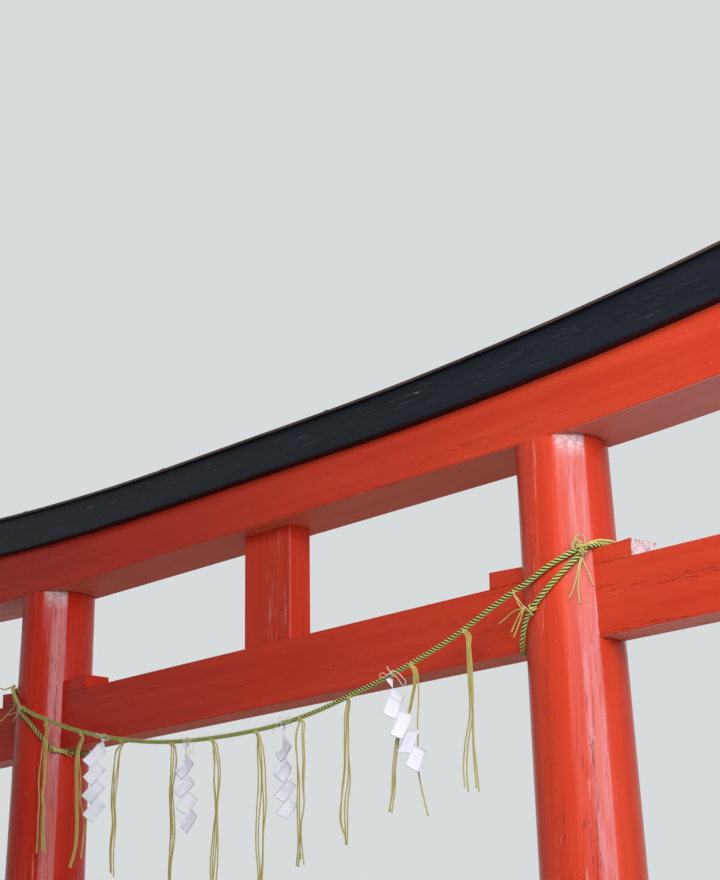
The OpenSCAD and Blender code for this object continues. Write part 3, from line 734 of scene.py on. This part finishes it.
knot_right = strand_piece("rope_knot_right", [
    wraps([2968, -104, 2990], (0.55, 0.62, 0.56), (0.75, -0.66, 0.1), (13, 17), 1.9, 8.5),
    (0.009, [[2960, -112, 2984], [2955, -121, 2990], [2954, -124, 3000], [2957, -121, 3010],
             [2962, -116, 3018], [2968, -110, 3014], [2972, -106, 3004], [2975, -103, 2996]]),
    (0.0052, [[2957, -121, 3008], [2960, -118, 3020], [2964, -112, 3030], [2969, -105, 3034],
              [2975, -99, 3031], [2978, -96, 3022], [2979, -96, 3012], [2980, -96, 3002],
              [2976, -100, 2994]]),
    (0.009, [[2962, -120, 2992], [2970, -114, 2997], [2978, -103, 2998], [2982, -92, 3001],
             [2982, -82, 3006]]),
    (0.012, [[2972, -92, 2996], [2980, -74, 3009], [2988, -50, 3019], [2994, -18, 3023], [2995, 20, 3024],
             [2987, 60, 3020], [2968, 92, 3004]])],
    knot_straw, 0.0085)
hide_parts("right_rope_knot")
right_ends = [
    (0.0048, [[2964, -102, 2982], [2960, -98, 2964], [2956, -103, 2940], [2952, -108, 2912],
              [2946, -114, 2884], [2940, -119, 2862], [2932, -126, 2842]]),
    (0.0050, [[2965, -100, 2982], [2962, -96, 2962], [2959, -100, 2938], [2956, -104, 2908],
              [2954, -107, 2880], [2955, -108, 2850], [2957, -107, 2826]]),
    (0.0045, [[2967, -97, 2982], [2965, -92, 2962], [2970, -85, 2936], [2974, -79, 2918], [2978, -74, 2900],
              [2980, -70, 2884]])]
for number, (thick, route) in enumerate(right_ends, 1):
    free_straw(f"straw_end_right_{number}", route, thick)
knot_left = strand_piece("rope_knot_left", [
    wraps([120, -164, 2890], (0.62, 0.0, -0.78), (0, -1, 0), (12, 13), 1.6, 9),
    (0.013, [[126, -165, 2886], [114, -167, 2899], [100, -168, 2918], [80, -166, 2941], [55, -159, 2966],
             [34, -149, 2986], [8, -134, 3000], [-16, -112, 3008]])], knot_straw, 0.008)
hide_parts("left_rope_knot")
left_ends = [
    (0.0048, [[116, -168, 2884], [96, -169, 2882], [66, -167, 2882], [29, -163, 2882], [-5, -162, 2876],
              [-32, -161, 2866]]),
    (0.0048, [[112, -168, 2882], [98, -168, 2874], [80, -166, 2862], [62, -163, 2852]]),
    (0.0045, [[84, -172, 2916], [72, -172, 2902], [50, -169, 2895], [24, -167, 2884], [0, -165, 2872],
              [-24, -165, 2860]]),
    (0.0065, [[40, -158, 2972], [26, -156, 2992], [10, -156, 2991], [-14, -160, 2989], [-39, -165, 2998]])]
for number, (thick, route) in enumerate(left_ends, 1):
    free_straw(f"straw_end_left_{number}", route, thick)

# Where the left turn comes to the beam's underside, the ends of its rice straw strands are cut short. They
# have come out of their lay and stand apart, with one thinner straw among them.
splayed = strand_piece("rope_splay_left", [
    [[232, -92, 2738], [240, -82, 2730], [246, -62, 2727], [250, -42, 2741],
     [254, -20, 2746], [256, 4, 2742]],
    [[230, -94, 2736], [240, -84, 2726], [249, -62, 2721], [255, -42, 2728],
     [259, -22, 2728], [260, -4, 2720]],
    [[230, -92, 2734], [240, -82, 2723], [250, -60, 2716], [255, -42, 2712],
     [258, -26, 2706], [258, -14, 2702]],
    [[232, -90, 2736], [242, -80, 2726], [252, -60, 2722], [259, -40, 2721],
     [263, -24, 2716], [263, -10, 2711]],
    (0.0032, [[228, -94, 2764], [236, -82, 2757], [242, -74, 2744], [247, -66, 2730], [250, -58, 2718]])],
    knot_straw, 0.0046, points=9)
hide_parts("left_rope_knot")

# A tie of two straws holds the span and the turn together at the right. It is drawn through the lay of
# the span, goes round the turn, and its ends hang from a knot in front.
tie = strand_piece("straw_tie_knot", [
    wraps([2818, -160, 2832], (0.77, -0.19, 0.60), (0, -1, 0), (11.5, 11.5), 1.6, 5),
    wraps([2798, -175, 2828], (0.6, 0, -0.8), (0, -1, 0), (5, 7), 2.0, 5)], knot_straw, 0.0045,
    points=9)
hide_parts("straw_tie")
tie_ends = [
    (0.0042, [[2752, -165, 2894], [2757, -176, 2886], [2778, -179, 2862], [2800, -179, 2836],
              [2820, -178, 2818], [2834, -176, 2802]]),
    (0.0046, [[2756, -165, 2890], [2760, -176, 2882], [2773, -179, 2861], [2787, -180, 2838],
              [2798, -178, 2828]]),
    (0.0042, [[2798, -178, 2828], [2778, -180, 2829], [2754, -179, 2825], [2729, -177, 2815],
              [2697, -176, 2801]]),
    (0.0046, [[2798, -178, 2828], [2789, -182, 2818], [2775, -180, 2804], [2763, -177, 2792],
              [2744, -176, 2766]]),
    (0.0046, [[2800, -178, 2828], [2795, -182, 2812], [2786, -180, 2797], [2770, -178, 2773],
              [2752, -176, 2750]])]
for number, (thick, route) in enumerate(tie_ends, 1):
    free_straw(f"straw_tie_{number}", route, thick)

# White cotton string, laid from two strands, ties each streamer's neck to the rope. It goes three times
# round the rope, is knotted in front and ends in a loose bow.
cotton = Finish("white_string")
# The string is painted darker in the grooves of its lay and paler on its crests: painted shade and painted
# light on plain cream cotton.
twist = cotton.stored("crest")
cotton.set(Base_Color=cotton.mix(twist.step(0.1, 0.5), tint(186, 176, 150), tint(240, 232, 208)),
           Roughness=0.8, Specular_IOR_Level=0.25)
string_thick, string_lay, bow_front, bow_drop = 0.0031, 0.006, 0.0125, 0.004
# For each bow: where along the gate it is tied, and its line's points: how far along the gate from there,
# and how far above the level that lies `bow_drop` below the rope's middle. Millimetres.
bows = [
    (677, [(-30, 16), (-18, 9), (-7, 4), (-1, 7), (-7, 12), (-18, 13), (-28, 16), (-36, 12), (-32, 4),
           (-20, 0), (-6, 1), (8, 2), (22, 2), (37, 0), (46, -6), (44, -14), (34, -16), (20, -11), (9, -7),
           (5, -13), (11, -21), (24, -31)]),
    (1168, [(-6, 12), (2, 10), (12, 9), (26, 13), (35, 5), (38, -14), (38, -42), (36, -54), (30, -60),
            (24, -54), (22, -42), (22, -20), (21, -3), (26, 7), (37, 6), (47, -6), (57, -30), (64, -46),
            (62, -54), (54, -54), (45, -40), (32, -12), (18, 6)]),
    (1690, [(-40, -30), (-26, -10), (-10, 2), (2, 8), (-4, 18), (2, 24), (12, 18), (10, 8), (24, 8),
            (44, 18), (58, 20), (60, 12), (50, 3), (34, 0), (20, 0), (8, 2)]),
    (2224, [(-16, 28), (-9, 17), (-1, 9), (-1, 2), (-10, 0), (-22, 4), (-38, 10), (-47, 7), (-47, -1),
            (-36, -6), (-18, -3), (0, 3), (18, 6), (38, -3), (57, -19), (68, -34), (66, -43), (56, -43),
            (43, -30), (24, -10), (6, 1)])]
for number, (x, points) in enumerate(bows, 1):
    root = rope_centre(x / 1000)
    route = [root + [a / 1000, -bow_front - 0.0012 * (k % 3), b / 1000 - bow_drop]
             for k, (a, b) in enumerate(points)]
    path = through(route, 0.0009)
    tube = laid_rings(path, np.array([0, -1.0, 0]), string_thick, string_lay, points=8, strands=2)
    ring = wraps(root, (1, 0, 0.1), (0, -1, 0), (0.0098, 0.0098), 3.0, 0.0026)
    ring = laid_rings(through(ring, 0.0009), np.array([1.0, 0, 0]), 0.0022, string_lay, points=8, strands=2)
    knot = wraps(root + [0.002, -bow_front, 0], (0.3, -0.2, 1), (0, -1, 0), (0.003, 0.003), 1.5, 0.003)
    knot = laid_rings(through(knot, 0.0009), np.array([1.0, 0, 0]), 0.0024, string_lay, points=8, strands=2)
    around = tube_piece(f"string_knot_{number}", [ring, knot], cotton)
    piece = tube_piece(f"string_bow_{number}", [tube], cotton)
    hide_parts(f"paper_streamer_{number}")

# The roof sheet's lengths are joined by flat seams across it, each folded over twice and dressed down, and
# small round nails hold its lips to the boards beneath.
def roof_top(x, y):
    """Height of the roof sheet's top: a level middle and a large arc to each end along the gate, and a
    fall of twelve degrees from the ridge to the front and to the back."""
    eave, radius, flat, pitch = 3.6712, 17.1, 0.4, np.radians(12)
    out = np.maximum(abs(x - gate_middle) - flat, 0)
    return eave + radius - np.sqrt(radius ** 2 - out ** 2) + (black_half - abs(y)) * np.tan(pitch)


def grid_piece(name, grids, finish):
    """One closed mesh from several closed grids of points: each row is joined round on itself and to the
    next, and the two end rows are filled."""
    return tube_piece(name, [(grid, 0 * grid[..., 0]) for grid in grids], finish)


seam_apart, seam_half, seam_end = 0.91, 0.1745, 0.1748
nail_apart, nail_out, nail_drop, nail_radius, nail_rise = 0.152, 0.1738, 0.0045, 0.0028, 0.0016
seams = []
for middle in gate_middle + seam_apart * (np.arange(6) - 2.5):
    y = np.concatenate([[-seam_end], np.linspace(-seam_half, seam_half, 27), [seam_end]])
    profile = np.array([[-10, -3], [-9.5, 0.7], [-8, 1.3], [2, 1.5], [3.5, 2.3], [6, 2.5], [8.5, 2.0],
                        [9.5, -3]]) / 1000
    x = (middle + np.broadcast_to(profile[:, 0], (len(y), len(profile)))
         + 0.0006 * np.sin(y * 70 + middle * 9)[:, None])
    z = roof_top(x, np.broadcast_to(y[:, None], x.shape))
    z = z + profile[:, 1] * (abs(y) < seam_end)[:, None]
    seams.append(np.stack([x, np.broadcast_to(y[:, None], x.shape), z], -1))
grid_piece("roof_seams", seams, metal)
heads = []
for side in (-1, 1):
    for x in np.arange(-0.86, 3.85, nail_apart):
        fall = np.linspace(0.05, 1.5, 4)[:, None]
        turned_by = -side * np.arange(8) * np.pi / 4
        centre = [x, side * nail_out, roof_top(x, 0.174) - nail_drop]
        heads.append(np.stack([centre[0] + nail_radius * np.sin(fall) * np.cos(turned_by),
                               centre[1] + side * nail_rise * np.cos(fall) + 0 * turned_by,
                               centre[2] + nail_radius * np.sin(fall) * np.sin(turned_by)], -1))
grid_piece("roof_nails", heads, metal)

# A plain pale floor, a pale backdrop all round, and soft lamps: one off the gate's right end and one in
# front on that side, which leave the left post in some shade, and one behind, whose light comes up off
# the floor to the undersides.
floor_mesh = bpy.data.meshes.new("floor")
floor_mesh.from_pydata([[-40, -40, 0], [40, -40, 0], [40, 40, 0], [-40, 40, 0]], [], [[0, 1, 2, 3]])
floor = bpy.data.objects.new("floor", floor_mesh)
bpy.context.scene.collection.objects.link(floor)
pale = Finish("pale_floor")
pale.set(Base_Color=tint(218, 218, 214), Roughness=0.9, Specular_IOR_Level=0.2)
pale.on("floor")
seen_rays = ("Is Camera Ray", "Is Glossy Ray", "Is Transmission Ray")


def backdrop(tree, light, output, colour, share):
    """Where the camera, metal or glass looks at a surface or the world, mixes a plain glow of this colour
    and a strength of one into its shader, in this share."""
    glow = tree.nodes.new("ShaderNodeEmission")
    glow.inputs["Color"].default_value = colour
    ray, blend = tree.nodes.new("ShaderNodeLightPath"), tree.nodes.new("ShaderNodeMixShader")
    seen = Wire(tree, ray.outputs[seen_rays[0]])
    for kind in seen_rays[1:]:
        seen = seen.most(Wire(tree, ray.outputs[kind]))
    plug(seen * share, blend.inputs[0])
    tree.links.new(light.outputs[0], blend.inputs[1])
    tree.links.new(glow.outputs[0], blend.inputs[2])
    tree.links.new(blend.outputs[0], output.inputs["Surface"])


backdrop(pale.tree, pale.shader, pale.tree.nodes["Material Output"], tint(210, 212, 212), 0.5)


def soft_lamp(name, place, aim, width, height, watts, colour):
    """A rectangular lamp at a place, facing a point: its own Z axis points away from that point."""
    data = bpy.data.lights.new(name, "AREA")
    data.shape, data.size, data.size_y = "RECTANGLE", width, height
    data.energy, data.color = watts, colour
    lamp = bpy.data.objects.new(name, data)
    back = np.array(place) - aim
    back /= np.linalg.norm(back)
    side = np.cross([0, 0, 1], back)
    side /= np.linalg.norm(side)
    turned = np.column_stack([side, np.cross(back, side), back, place])
    lamp.matrix_world = Matrix([*turned.tolist(), [0, 0, 0, 1]])
    lamp.visible_camera = False
    bpy.context.scene.collection.objects.link(lamp)
    return lamp


soft_lamp("end_lamp", (8.4, -0.7, 4.2), (2.84, 0, 2.9), 3.9, 2.6, 180, (0.84, 0.91, 1.0))
soft_lamp("front_lamp", (5.4, -3.4, 4.2), (2.2, 0, 2.9), 3.0, 2.6, 200, (1.0, 0.98, 0.96))
behind = soft_lamp("back_lamp", (0.6, 6.5, 3.4), (1.5, 0.4, 0.9), 5.0, 3.0, 150, (0.96, 0.98, 1.0))
behind.visible_glossy = False
world = bpy.data.worlds.new("pale_backdrop")
bpy.context.scene.world = world
world.use_nodes = True
light = world.node_tree.nodes["Background"]
light.inputs["Color"].default_value = tint(206, 210, 214)
light.inputs["Strength"].default_value = 0.19
backdrop(world.node_tree, light, world.node_tree.nodes["World Output"], tint(216, 219, 220), 1.0)
bpy.context.scene.view_settings.view_transform = "Standard"
